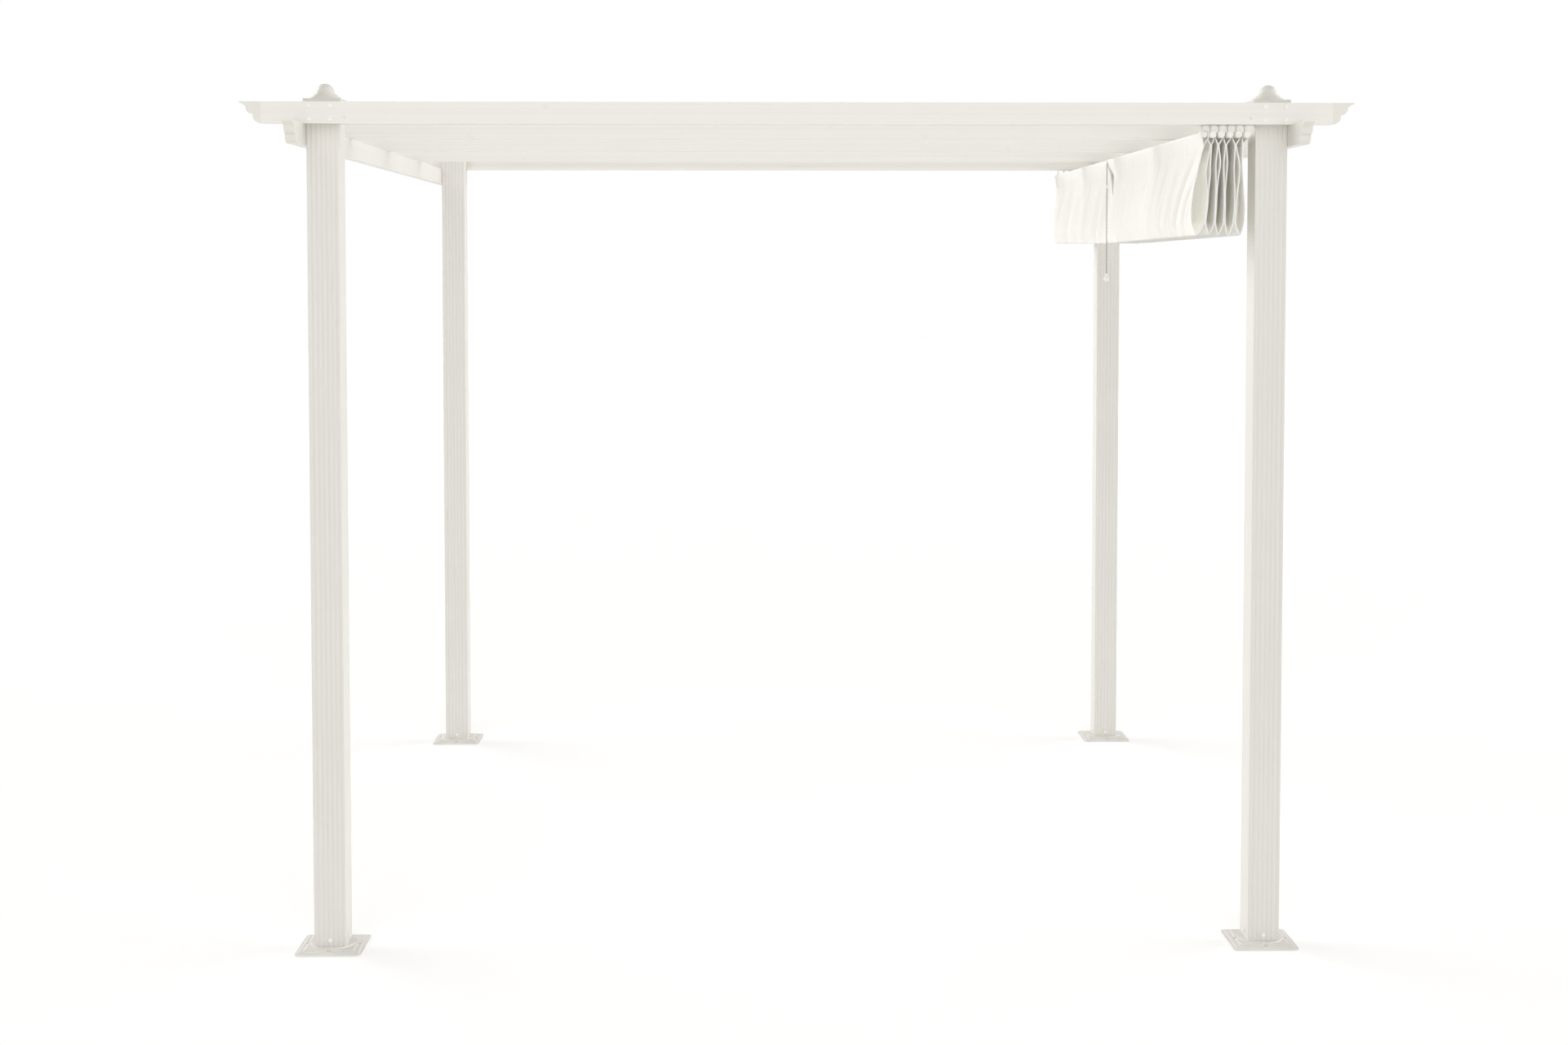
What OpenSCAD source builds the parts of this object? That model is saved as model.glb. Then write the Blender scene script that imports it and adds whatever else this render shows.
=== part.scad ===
// Square garden pergola: four fluted posts on anchor plates, three rafters on two side beams,
// and a retractable cloth canopy that hangs on rods and is drawn along two rails by a pull cord.
// X runs along the rafters, Y from front to back, Z up. The ground under the middle is the origin.
// All sizes are in millimetres.

/* [Frame] */
// Distance over the outer faces of the posts, in X and in Y
post_span = 2660; // [2200:10:3200]
// Reach of every beam past the outer faces of the posts
overhang = 170; // [120:5:260]
// Height of the cross beams' undersides above the ground
clear_h = 2262; // [1900:2:2600]

/* [Posts] */
// Side of the square post
post_w = 88; // [76:1:110]
// Wall of the post
post_wall = 2.5; // [2:0.1:4]
// Rounding of the post's corners
post_corner_r = 2; // [1:0.5:3]
// Width of one concave flute
flute_w = 8.3; // [6:0.1:9]
// Depth of one flute
flute_depth = 1.2; // [0.6:0.1:1.4]
// Flat land between two flutes
land_w = 4.8; // [3:0.1:6]
// Least flat land between a corner and the first flute
corner_land = 4; // [3:0.5:8]
// Height of the post above the top of the cross beams
post_rise = 8; // [5:0.5:20]

/* [Anchor plates] */
// Reach of the plate past each face of the post
base_margin = 46; // [38:1:70]
// Thickness of the plate's edge
base_t = 4; // [3:0.5:8]
// Rounding of the plate's corners
base_corner_r = 10; // [4:1:16]
// Lip between the plate's edge and the first ridge
ridge_lip = 5; // [3:1:8]
// Distance from one ridge to the next
ridge_in = 14; // [10:1:16]
// Width of a ridge's slope
ridge_slope = 6; // [3:0.5:8]
// Height of each of the two ridges
ridge_h = 3.5; // [2:0.5:6]
// Height of the round boss under the post
boss_h = 3; // [2:0.5:6]
// Reach of the round boss past the post's corners
boss_lip = 1; // [0.5:0.5:3]
// Height of the socket tube that the post slips over
socket_h = 60; // [40:5:100]
// Wall of the socket tube
socket_wall = 3; // [2:0.5:4]
// Gap between the socket tube and the post, each side
socket_gap = 0.3; // [0.2:0.1:0.6]
// Radius of the four anchor holes
anchor_r = 6; // [4:0.5:7]
// Distance of the anchor holes from the plate's edge
anchor_inset = 20; // [14:1:24]

/* [Post caps] */
// Reach of the cap's skirt past each face of the post
skirt_over = 7; // [5:0.5:10]
// Gap between the skirt and the post, each side
skirt_gap = 1; // [0.5:0.1:2]
// Gap between the skirt and the beam below it
skirt_lift = 1; // [0.5:0.1:2]
// Thickness of the cap's top plate
cap_plate_t = 3; // [2:0.5:5]
// Step in radius from one ring to the next
ring_in = 9; // [6:0.5:10]
// Height of each of the two rings
ring_h = 7; // [5:0.5:10]
// Radius of the rings' bead edges
bead_r = 1.5; // [0.5:0.1:2.2]
// Wall of the dome
dome_wall = 3; // [2:0.5:5]
// Step in radius from the second ring to the dome
dome_in = 8; // [5:0.5:9]
// Straight rise of the dome above the second ring
dome_rise = 4; // [2:0.5:8]
// Length of the cap's plug inside the post
plug_h = 12; // [8:1:14]

/* [Beams] */
// Height of every beam
beam_h = 58; // [52:1:80]
// Thickness of the cross beams and rafters
beam_t = 40; // [30:1:60]
// Thickness of the side beams
side_t = 28; // [24:1:50]
// Wall of the beams
beam_wall = 2; // [1.5:0.1:3]

/* [Beam end caps] */
// Radius of the lower lobe
lobe_low_r = 22; // [18:0.5:24]
// Straight rise above the lower lobe
lobe_rise = 3; // [1:0.5:5]
// Shoulder between the lobes
lobe_shoulder = 1; // [0.5:0.5:3]
// Radius of the upper lobe
lobe_up_r = 17.5; // [12:0.5:20]
// Length of the nose past the upper lobe
nose_len = 17.5; // [10:0.5:24]
// Depth of the nose's slanted underside, down from the beam's top
nose_drop = 12; // [8:0.5:14]
// Thickness of the nose's blunt tip
nose_t = 2.5; // [1.5:0.5:4]
// Length of the cap's hollow plug inside the beam
cap_plug = 30; // [20:1:45]
// Wall of the cap's plug
cap_plug_wall = 2; // [1.5:0.1:3]
// Gap between the plug and the beam, each side
cap_gap = 0.3; // [0.2:0.1:0.6]

/* [Fasteners] */
// Radius of the beam bolts
bolt_r = 3; // [2.5:0.5:4]
// Gap between a bolt and its hole
bolt_gap = 0.2; // [0.1:0.1:0.5]
// Radius of the bolt heads
head_r = 5.5; // [5:0.5:7]
// Height of the bolt heads
head_h = 3.5; // [2.5:0.5:5]
// Width over corners of the key recess in a head, as a share of the head
key_w = 0.45; // [0.35:0.05:0.55]
// Depth of the key recess, as a share of the head's height
key_depth = 0.6; // [0.4:0.05:0.7]
// Height of the nuts
nut_h = 5; // [4:0.5:6]
// Width of the nuts over two corners
nut_w = 11.5; // [11:0.5:14]
// Length of bolt that shows past its nut
bolt_tail = 2; // [1:0.5:4]
// Distance of the bolts from the post's edges
bolt_inset = 16; // [14:1:20]
// Distance of the bolt rows from the beam's edges
row_inset = 11.5; // [9:0.5:16]
// Radius of the small screws
screw_r = 2; // [1.5:0.25:2.5]
// Radius of the small screws' heads
screw_head_r = 4; // [3.5:0.25:5]
// Height of the small screws' heads
screw_head_h = 2.5; // [1.5:0.5:3]
// Length that a small screw stands through the last wall it bites
screw_tail = 4; // [2:0.5:6]
// Height of the plate screws above the post's foot
foot_screw_z = 16; // [12:1:30]

/* [Rails] */
// Width of the rail
rail_w = 20; // [18:0.5:26]
// Height of the rail's channel
rail_h = 11; // [10.5:0.5:14]
// Wall of the rail
rail_wall = 2; // [1.5:0.1:2.2]
// Width of the slot under the rail
slot_w = 7; // [6:0.5:8]
// Height of the flange that is screwed to the beam
flange_h = 10; // [9:0.5:16]
// Thickness of the flange
flange_t = 3; // [2:0.5:4]
// Gap between the rail's ends and the posts
rail_end_gap = 1; // [0.5:0.5:4]
// Distance of the rail screws from the posts
rail_screw_in = 22; // [12:1:60]

/* [Canopy rods] */
// Distance between two rods when the canopy is drawn back
rod_pitch = 23.5; // [22:0.5:30]
// Distance of the last rod from the post beside it
last_rod_in = 28; // [22:1:40]
// Depth of the rods' axes below the cross beams
rod_drop = 26; // [20:1:40]
// Radius of the rods
rod_r = 6; // [5:0.25:6.5]
// Wall of the rods
rod_wall = 1; // [0.8:0.1:1.5]
// Distance of the knobs' centres past the posts' outer faces
knob_out = 20; // [16:1:28]
// Radius of the knobs on the rods' ends
knob_r = 9.5; // [8:0.25:10]
// Length of a knob
knob_l = 17; // [14:0.5:18]
// Rounding of a knob's rim
knob_edge = 3.5; // [2:0.5:5]
// Radius of the ring groove on a knob's face
knob_ring_r = 4.4; // [3.5:0.1:5]
// Depth of the grooves and the dimple in a knob
knob_groove = 0.8; // [0.5:0.1:1.2]
// Depth of a rod's end inside its knob, short of the knob's centre
knob_core = 4; // [3:0.5:5]
// Gap between a rod and what is pushed over it
rod_gap = 0.08; // [0.05:0.01:0.2]
// Wall of the ring that carries a rod
ring_wall = 3; // [2:0.25:3.5]
// Width of the ring along the rod
ring_w = 6; // [4:0.5:8]
// Radius of the stem above the ring
stem_r = 2; // [1.5:0.25:2.5]
// Radius of the collar on the stem, under the rail
collar_r = 4.5; // [3:0.25:5]
// Height of the collar
collar_h = 2.5; // [1:0.5:4]
// Gap between the collar and the rail
collar_gap = 0.5; // [0.3:0.1:1]
// Length of the runner in the rail
runner_l = 12; // [8:0.5:16]
// Height of the runner
runner_h = 5; // [3:0.25:5.5]
// Gap between the runner and the rail, all round
runner_gap = 0.3; // [0.2:0.1:0.6]

/* [Canopy cloth] */
// Thickness of the cloth
cloth_t = 0.8; // [0.6:0.1:1.2]
// Depth of the hanging folds below the rods' axes
fold_drop = 273; // [200:1:320]
// Distance of the cloth's edge from the knobs' centres
cloth_in = 12; // [11:0.5:30]
// Gap between a rod and the cloth's sleeve
sleeve_gap = 0.3; // [0.2:0.1:0.5]
// Place in Y where the cloth's two widths meet
seam_y = 120; // [-300:10:300]
// Gap between the two widths
seam_gap = 12; // [10:1:30]
// Gap between the cloth and the ring in each notch
notch_gap = 2; // [1:0.5:5]

/* [Pull cord] */
// Diameter of the cord
cord_d = 3; // [2:0.5:4]
// Length of the cord between the clip and the knob
cord_len = 375; // [330:5:600]
// Radius of the lug that holds the cord
lug_r = 3.2; // [2.5:0.1:4]
// Height of the lug
lug_h = 9; // [6:0.5:12]
// Height of the lug's top above the rod's axis
lug_over = 3; // [2:0.5:4]
// Radius of the bead on the cord
bead_ball_r = 6; // [4:0.5:6.5]
// Distance of the bead's centre below the lug
bead_drop = 80; // [20:5:200]
// Largest radius of the pull knob
pull_r = 9; // [7:0.5:14]
// Height of the pull knob
pull_h = 26; // [18:1:40]

/* [Hidden] */
$fn = 48;
// Overshoot of cuts, and overlap of what is joined
over = 1;

// Colours: off-white powder coat, moulded plastic, zinc, cloth and cord
coat = "#E9E6DE";
plastic = "#F1EFE9";
zinc = "#D9D7D0";
cloth = "#F6F4EC";
grey = "#9E9B96";

// Plan and heights
rods = 6;
beam_len = post_span + 2 * overhang;
post_c = (post_span - post_w) / 2;
beam_top = clear_h + beam_h;
post_foot = base_t + 2 * ridge_h + boss_h;
post_top = beam_top + post_rise;
post_bore = post_w - 2 * post_wall;
cross_y = (post_span + beam_t) / 2;
side_x = (post_span + side_t) / 2;
rafter_ys = [-cross_y / 2, 0, cross_y / 2];
post_inner = post_span / 2 - post_w;

// Flutes
flute_pitch = flute_w + land_w;
flute_n = floor((post_w - 2 * corner_land + land_w) / flute_pitch);
flute_r = (flute_w * flute_w / 4 + flute_depth * flute_depth) / (2 * flute_depth);

// Plate and cap
base_w = post_w + 2 * base_margin;
socket_w = post_bore - 2 * socket_gap;
boss_r = post_w / sqrt(2) + boss_lip;
anchor_c = base_w / 2 - anchor_inset;
skirt_w = post_w + 2 * skirt_over;
cap_z = post_top + cap_plate_t;
ring_1_r = skirt_w / 2 - ring_in;
ring_2_r = ring_1_r - ring_in;
dome_r = ring_2_r - dome_in;
dome_z = cap_z + 2 * ring_h + dome_rise;

// Beam caps and bolts
cap_len = lobe_low_r + lobe_shoulder + lobe_up_r + nose_len;
tube_len = beam_len - 2 * cap_len;
bolt_dx = post_w / 2 - bolt_inset;
bolt_rows = [clear_h + row_inset, beam_top - row_inset];
side_bolt_z = clear_h - beam_h / 2;
hole_r = bolt_r + bolt_gap;
screw_hole_r = screw_r + bolt_gap;
foot_screw_h = post_foot + foot_screw_z;
rail_screw_z = clear_h + rail_h + flange_h / 2;
rail_screw_x = post_inner - rail_screw_in;

// Canopy
rod_z = clear_h - rod_drop;
rail_c = post_span / 2 - rail_w / 2;
knob_y = post_span / 2 + knob_out;
rod_half = knob_y - knob_core;
cloth_edge = knob_y - cloth_in;
ring_r = rod_r + rod_gap + ring_wall;
sleeve_r = rod_r + sleeve_gap + cloth_t / 2;
runner_w = rail_w - 2 * rail_wall - 2 * runner_gap;
runner_z = rod_drop + rail_wall + runner_gap;
notch_h = ring_r + notch_gap;
function rod_x(k) = post_inner - last_rod_in - (rods - k) * rod_pitch;

// Cord route, from the lug's underside straight down to the knob
cord_x = rod_x(1) - ring_r - cord_d / 2;
lug_z = rod_z - lug_h + lug_over;
cord_route = [[cord_x, seam_y, lug_z], [cord_x, seam_y, lug_z - cord_len]];
cord_rings = 47;
cord_sides = 8;

// How far the bottom of each fold leans along X, for the front width and the back width,
// and how the lean grows on the way down
front_lean = [-30, -18, -17, -14, -5];
back_lean = [-11, -7, -6, -5, -2];
lean_power = 1.5;

// The sleeve round a rod, in degrees: where it starts at the top, where it ends under the rod,
// and how far it wraps past the half turn on an end rod
sleeve_top = 84;
sleeve_foot = 50;
sleeve_wrap = 20;
sleeve_steps = 10;

// Middle line of a leg: distance from under the rod's middle at the top, how far and in what turn
// it draws in below, the distance inside the sleeve at the top of an end rod's outer leg, how late
// both turn to the fold's point, and the shares of the depth they are drawn at
leg_top = 3;
leg_belly = 2;
belly_turn = 150;
end_leg_top = 1;
point_power = 9;
leg_first = 0.02;
leg_share = 0.068;
leg_steps = 14;

corners = [[-1, -1], [1, -1], [-1, 1], [1, 1]];

module rounded_square(w, r) {
    square([w, w - 2 * r], center = true);
    square([w - 2 * r, w], center = true);
    for (c = corners) translate(c * (w / 2 - r)) circle(r = r);
}

// Turns +Z to point outward in plan at angle a
module outward(a) {
    rotate([0, 90, a]) children();
}

// Square pyramid stump of planes
module ridge(w_low, w_top, h) {
    intersection_for (a = [0, 90]) {
        rotate([90, 0, a]) linear_extrude(w_low, center = true)
            polygon([[-w_low / 2, 0], [w_low / 2, 0], [w_top / 2, h], [-w_top / 2, h]]);
    }
}

// Posts: extruded square tubes with flutes down every face
module post_section() {
    difference() {
        rounded_square(post_w, post_corner_r);
        for (a = [0, 90, 180, 270], i = [0 : flute_n - 1])
            rotate(a) translate([(i - (flute_n - 1) / 2) * flute_pitch, post_w / 2 + flute_r - flute_depth])
                circle(r = flute_r);
        square(post_bore, center = true);
    }
}

module wall_hole(a, side, z, r, w, wall) {
    rotate(a) translate([w / 2 - wall / 2, side, z]) rotate([0, 90, 0])
        cylinder(r = r, h = wall + 3 * over, center = true);
}

module post(sx, sy) {
    ax = sx > 0 ? 0 : 180;
    ay = sy > 0 ? 90 : 270;
    color(coat) translate([sx * post_c, sy * post_c, 0]) difference() {
        translate([0, 0, post_foot]) linear_extrude(post_top - post_foot) post_section();
        for (s = [-1, 1]) {
            for (z = bolt_rows) wall_hole(ay, s * bolt_dx, z, hole_r, post_w, post_wall);
            wall_hole(ax, s * bolt_dx, side_bolt_z, hole_r, post_w, post_wall);
        }
        for (a = [0, 90, 180, 270]) wall_hole(a, 0, foot_screw_h, screw_hole_r, post_w, post_wall);
    }
}

// Anchor plates: two sloped ridges rise to a round boss and the socket tube inside the post
module base(sx, sy) {
    color(coat) translate([sx * post_c, sy * post_c, 0]) difference() {
        union() {
            linear_extrude(base_t) rounded_square(base_w, base_corner_r);
            for (i = [0, 1]) {
                low = base_w - 2 * (ridge_lip + i * ridge_in);
                translate([0, 0, base_t + i * ridge_h]) ridge(low, low - 2 * ridge_slope, ridge_h);
            }
            translate([0, 0, base_t]) rotate_extrude() {
                square([boss_r, 2 * ridge_h + boss_h - bead_r]);
                square([boss_r - bead_r, 2 * ridge_h + boss_h]);
                translate([boss_r - bead_r, 2 * ridge_h + boss_h - bead_r]) circle(r = bead_r);
            }
            translate([0, 0, post_foot - over]) linear_extrude(socket_h + over) difference() {
                square(socket_w, center = true);
                square(socket_w - 2 * socket_wall, center = true);
            }
        }
        for (a = [0, 90, 180, 270]) {
            rotate(a) translate([anchor_c, 0, -over]) cylinder(r = anchor_r, h = post_foot + 2 * over);
            wall_hole(a, 0, foot_screw_h, screw_hole_r, socket_w, socket_wall);
        }
    }
}

// Post caps: square skirt and top plate, two beaded rings and a hollow dome
module post_cap(sx, sy) {
    skirt_z = beam_top + skirt_lift;
    color(plastic) translate([sx * post_c, sy * post_c, 0]) difference() {
        union() {
            difference() {
                translate([0, 0, skirt_z]) linear_extrude(cap_z - skirt_z)
                    rounded_square(skirt_w, post_corner_r);
                translate([0, 0, skirt_z - over]) linear_extrude(post_top - skirt_z + over)
                    square(post_w + 2 * skirt_gap, center = true);
            }
            translate([0, 0, post_top - plug_h]) linear_extrude(plug_h + over) difference() {
                square(socket_w, center = true);
                square(socket_w - 2 * socket_wall, center = true);
            }
            translate([0, 0, cap_z]) rotate_extrude() {
                bead_ring(ring_1_r, 0, ring_h);
                bead_ring(ring_2_r, ring_h, ring_h);
                square([dome_r, dome_z - cap_z]);
            }
            translate([0, 0, dome_z]) rotate_extrude() intersection() {
                circle(r = dome_r);
                square(dome_r);
            }
        }
        translate([0, 0, post_top - over])
            cylinder(r = dome_r - dome_wall, h = dome_z - post_top + over);
        translate([0, 0, dome_z]) rotate_extrude() intersection() {
            circle(r = dome_r - dome_wall);
            square(dome_r);
        }
    }
}

module bead_ring(r, z, h) {
    translate([0, z]) square([r - bead_r, h]);
    translate([0, z + bead_r]) square([r, h - 2 * bead_r]);
    for (e = [bead_r, h - bead_r]) translate([r - bead_r, z + e]) circle(r = bead_r);
}

// Beams: rectangular tubes, drawn along X with the underside at z = 0
module beam_tube(t) {
    difference() {
        translate([-tube_len / 2, -t / 2, 0]) cube([tube_len, t, beam_h]);
        translate([-tube_len / 2 - over, -t / 2 + beam_wall, beam_wall])
            cube([tube_len + 2 * over, t - 2 * beam_wall, beam_h - 2 * beam_wall]);
    }
}

// Outer beam on the front (s = -1) or back (s = 1) faces of the posts
module outer_beam(s) {
    color(coat) difference() {
        translate([0, s * cross_y, clear_h]) beam_tube(beam_t);
        for (sx = [-1, 1]) {
            for (dx = [-bolt_dx, bolt_dx], z = bolt_rows)
                translate([sx * post_c + dx, s * cross_y, z]) outward(90)
                    cylinder(r = hole_r, h = beam_t + 2 * over, center = true);
            translate([sx * rail_screw_x, s * cross_y, rail_screw_z]) outward(90)
                cylinder(r = screw_hole_r, h = beam_t + 2 * over, center = true);
        }
    }
}

module rafter(y) {
    color(coat) difference() {
        translate([0, y, clear_h]) beam_tube(beam_t);
        for (sx = [-1, 1]) translate([sx * side_x, y, clear_h - over])
            cylinder(r = hole_r, h = beam_h + 2 * over);
    }
}

module side_beam(s) {
    color(coat) difference() {
        translate([s * side_x, 0, clear_h - beam_h]) rotate(90) beam_tube(side_t);
        for (sy = [-1, 1], dy = [-bolt_dx, bolt_dx])
            translate([s * side_x, sy * post_c + dy, side_bolt_z]) outward(0)
                cylinder(r = hole_r, h = side_t + 2 * over, center = true);
        for (y = rafter_ys)
            translate([s * side_x, y, clear_h - beam_wall - over])
                cylinder(r = hole_r, h = beam_wall + 2 * over);
    }
}

// Scalloped end caps: two round lobes under a slanted nose, on a hollow plug
module cap_profile() {
    low_z = lobe_low_r + lobe_rise;
    up_x = lobe_low_r + lobe_shoulder;
    up_z = low_z + lobe_up_r;
    intersection() {
        translate([0, lobe_low_r]) circle(r = lobe_low_r);
        square([lobe_low_r, lobe_low_r]);
    }
    translate([0, lobe_low_r]) square([lobe_low_r, beam_h - lobe_low_r]);
    intersection() {
        translate([up_x, up_z]) circle(r = lobe_up_r);
        translate([up_x, low_z]) square([lobe_up_r, lobe_up_r]);
    }
    translate([lobe_low_r - over, low_z]) square([lobe_shoulder + over, beam_h - low_z]);
    translate([up_x, up_z]) square([lobe_up_r, beam_h - up_z]);
    polygon([
        [up_x, beam_h], [cap_len, beam_h], [cap_len, beam_h - nose_t],
        [up_x + lobe_up_r, beam_h - nose_drop], [up_x, beam_h - nose_drop]
    ]);
}

module end_cap(t) {
    plug_t = t - 2 * beam_wall - 2 * cap_gap;
    plug_z = beam_h - 2 * beam_wall - 2 * cap_gap;
    translate([tube_len / 2, 0, 0]) {
        translate([0, t / 2, 0]) rotate([90, 0, 0]) linear_extrude(t) cap_profile();
        translate([-cap_plug, -plug_t / 2, beam_wall + cap_gap]) difference() {
            cube([cap_plug + 2 * over, plug_t, plug_z]);
            translate([-over, cap_plug_wall, cap_plug_wall])
                cube([cap_plug + over, plug_t - 2 * cap_plug_wall, plug_z - 2 * cap_plug_wall]);
        }
    }
}

module end_pair(t) {
    color(plastic) for (a = [0, 180]) rotate(a) end_cap(t);
}

// Fasteners: the head stands on z = 0 with a hexagonal key recess, and the shank runs down
module domed_bolt(r, len, hr, hh) {
    edge = hh / 2;
    difference() {
        union() {
            translate([0, 0, -len]) cylinder(r = r, h = len + edge);
            rotate_extrude() {
                square([hr, hh - edge]);
                square([hr - edge, hh]);
                intersection() {
                    translate([hr - edge, hh - edge]) circle(r = edge);
                    translate([hr - edge, 0]) square([edge, hh]);
                }
            }
        }
        translate([0, 0, hh * (1 - key_depth)]) cylinder(r = key_w * hr, h = hh, $fn = 6);
    }
}

module hex_nut() {
    difference() {
        translate([0, 0, -nut_h]) cylinder(d = nut_w, h = nut_h, $fn = 6);
        translate([0, 0, -nut_h - over]) cylinder(r = bolt_r + rod_gap, h = nut_h + 2 * over);
    }
}

// Places children at every bolt of an outer beam, on the face at distance out from the middle
module at_cross_bolts(out) {
    for (c = corners, dx = [-bolt_dx, bolt_dx], z = bolt_rows)
        translate([c[0] * post_c + dx, c[1] * out, z]) outward(c[1] * 90) children();
}

module at_side_bolts(out) {
    for (c = corners, dy = [-bolt_dx, bolt_dx])
        translate([c[0] * out, c[1] * post_c + dy, side_bolt_z]) outward(c[0] > 0 ? 0 : 180) children();
}

module at_rafter_bolts(z) {
    for (s = [-1, 1], y = rafter_ys) translate([s * side_x, y, z]) children();
}

module cross_beam_bolts() {
    color(zinc) at_cross_bolts(post_span / 2 + beam_t)
        domed_bolt(bolt_r, beam_t + post_wall + nut_h + bolt_tail, head_r, head_h);
}

module side_beam_bolts() {
    color(zinc) at_side_bolts(post_span / 2 + side_t)
        domed_bolt(bolt_r, side_t + post_wall + nut_h + bolt_tail, head_r, head_h);
}

module rafter_bolts() {
    color(zinc) at_rafter_bolts(beam_top)
        domed_bolt(bolt_r, beam_h + beam_wall + nut_h + bolt_tail, head_r, head_h);
}

module nuts() {
    color(zinc) {
        at_cross_bolts(post_span / 2 - post_wall) hex_nut();
        at_side_bolts(post_span / 2 - post_wall) hex_nut();
        at_rafter_bolts(clear_h - beam_wall) hex_nut();
    }
}

module base_screws() {
    color(zinc) for (c = corners, a = [0, 90, 180, 270])
        translate([c[0] * post_c, c[1] * post_c, foot_screw_h]) rotate(a) translate([post_w / 2, 0, 0])
            rotate([0, 90, 0])
                domed_bolt(screw_r, post_wall + socket_gap + socket_wall + screw_tail, head_r, screw_head_h);
}

module rail_screws() {
    color(zinc) for (c = corners)
        translate([c[0] * rail_screw_x, c[1] * (post_span / 2 + beam_t), rail_screw_z]) outward(c[1] * 90)
            domed_bolt(screw_r, beam_t + flange_t + screw_tail, screw_head_r, screw_head_h);
}

// Rails: slotted channel under a screw flange, between the posts
module rail() {
    rail_len = 2 * (post_inner - rail_end_gap);
    color(coat) difference() {
        translate([-rail_len / 2, -post_span / 2, clear_h]) rotate([90, 0, 90])
            linear_extrude(rail_len) {
                difference() {
                    square([rail_w, rail_h]);
                    translate([rail_wall, rail_wall])
                        square([rail_w - 2 * rail_wall, rail_h - 2 * rail_wall]);
                    translate([(rail_w - slot_w) / 2, -over]) square([slot_w, rail_wall + 2 * over]);
                }
                translate([0, rail_h - rail_wall]) square([flange_t, flange_h + rail_wall]);
            }
        for (s = [-1, 1]) translate([s * rail_screw_x, -post_span / 2 + flange_t / 2, rail_screw_z])
            outward(90) cylinder(r = screw_hole_r, h = flange_t + 2 * over, center = true);
    }
}

// Rods and what is pushed over them
module rod(k) {
    color(coat) translate([rod_x(k), 0, rod_z]) rotate([90, 0, 0]) difference() {
        cylinder(r = rod_r, h = 2 * rod_half, center = true);
        cylinder(r = rod_r - rod_wall, h = 2 * (rod_half + over), center = true);
    }
}

// Knob with its face at the bottom: a rounded rim, a ring groove and a dimple in the face,
// and a groove round its side
module knob() {
    face = -knob_l / 2;
    difference() {
        rotate_extrude() {
            translate([0, face]) square([knob_r - knob_edge, knob_l]);
            translate([0, face + knob_edge]) square([knob_r, knob_l - knob_edge]);
            intersection() {
                translate([knob_r - knob_edge, face + knob_edge]) circle(r = knob_edge);
                translate([0, face]) square([knob_r, knob_edge]);
            }
        }
        translate([0, 0, knob_core]) cylinder(r = rod_r + rod_gap, h = knob_l);
        rotate_extrude() translate([knob_ring_r, face]) circle(r = knob_groove);
        rotate_extrude() translate([knob_r, knob_groove]) circle(r = knob_groove);
        translate([0, 0, face - knob_groove]) sphere(r = 2 * knob_groove);
    }
}

module rod_knobs(k) {
    color(plastic) for (s = [-1, 1])
        translate([rod_x(k), s * knob_y, rod_z]) rotate([s * 90, 0, 0]) knob();
}

module rod_ring() {
    rotate([90, 0, 0]) difference() {
        cylinder(r = ring_r, h = ring_w, center = true);
        cylinder(r = rod_r + rod_gap, h = ring_w + 2 * over, center = true);
    }
}

module gliders(k) {
    stem_z = rod_r + rod_gap + ring_wall / 2;
    color(plastic) for (s = [-1, 1]) translate([rod_x(k), s * rail_c, rod_z]) {
        rod_ring();
        translate([0, 0, stem_z]) cylinder(r = stem_r, h = runner_z + over - stem_z);
        translate([0, 0, rod_drop - collar_gap - collar_h]) cylinder(r = collar_r, h = collar_h);
        translate([-runner_l / 2, -runner_w / 2, runner_z]) cube([runner_l, runner_w, runner_h]);
    }
}

// Cloth: a thin strip whose middle line wraps one rod, hangs in a fold and wraps the next rod
function arc(r, a0, a1, n) = [for (i = [0 : n]) let (a = a0 + (a1 - a0) * i / n) [r * cos(a), r * sin(a)]];

// Middle line of a leg at a share f of the fold's depth: it draws in under the rod on the way down
// and turns out to the fold's point near its end.
// The outer leg of an end rod hangs from the rod's outer side and wraps it whole.
function leg_x(f, whole) = let (
    x = whole ? (end_leg_top - sleeve_r) * (1 - f) : leg_top - leg_belly * sin(belly_turn * f)
) x + (rod_pitch / 2 - x) * pow(f, point_power);

function half_fold(whole) = concat(
    whole ? arc(sleeve_r, -sleeve_foot, 180 + sleeve_wrap, 2 * sleeve_steps)
        : arc(sleeve_r, sleeve_top, -sleeve_foot, sleeve_steps),
    [for (i = [1 : leg_steps]) let (f = leg_first + leg_share * i) [leg_x(f, whole), -f * fold_drop]]
);

function other_side(points) = [
    for (i = [len(points) - 1 : -1 : 0]) [rod_pitch - points[i][0], points[i][1]]
];

function lean(points, d) = [for (p = points) p + [d * pow(max(0, -p[1]) / fold_drop, lean_power), 0]];

function fold_line(k, d) = lean(concat(
    half_fold(k == 1), [[rod_pitch / 2, -fold_drop]], other_side(half_fold(k == rods - 1))), d);

function unit(v) = v / norm(v);

function side_normal(points, i) = let (
    a = points[max(i - 1, 0)],
    b = points[min(i + 1, len(points) - 1)],
    u = unit(b - a)
) [-u[1], u[0]];

function strip(points, t) = concat(
    [for (i = [0 : len(points) - 1]) points[i] + side_normal(points, i) * t / 2],
    [for (i = [len(points) - 1 : -1 : 0]) points[i] - side_normal(points, i) * t / 2]
);

module cloth_width(k, y0, y1, d) {
    translate([0, y1, 0]) rotate([90, 0, 0]) linear_extrude(y1 - y0)
        polygon(strip(fold_line(k, d), cloth_t));
}

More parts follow.
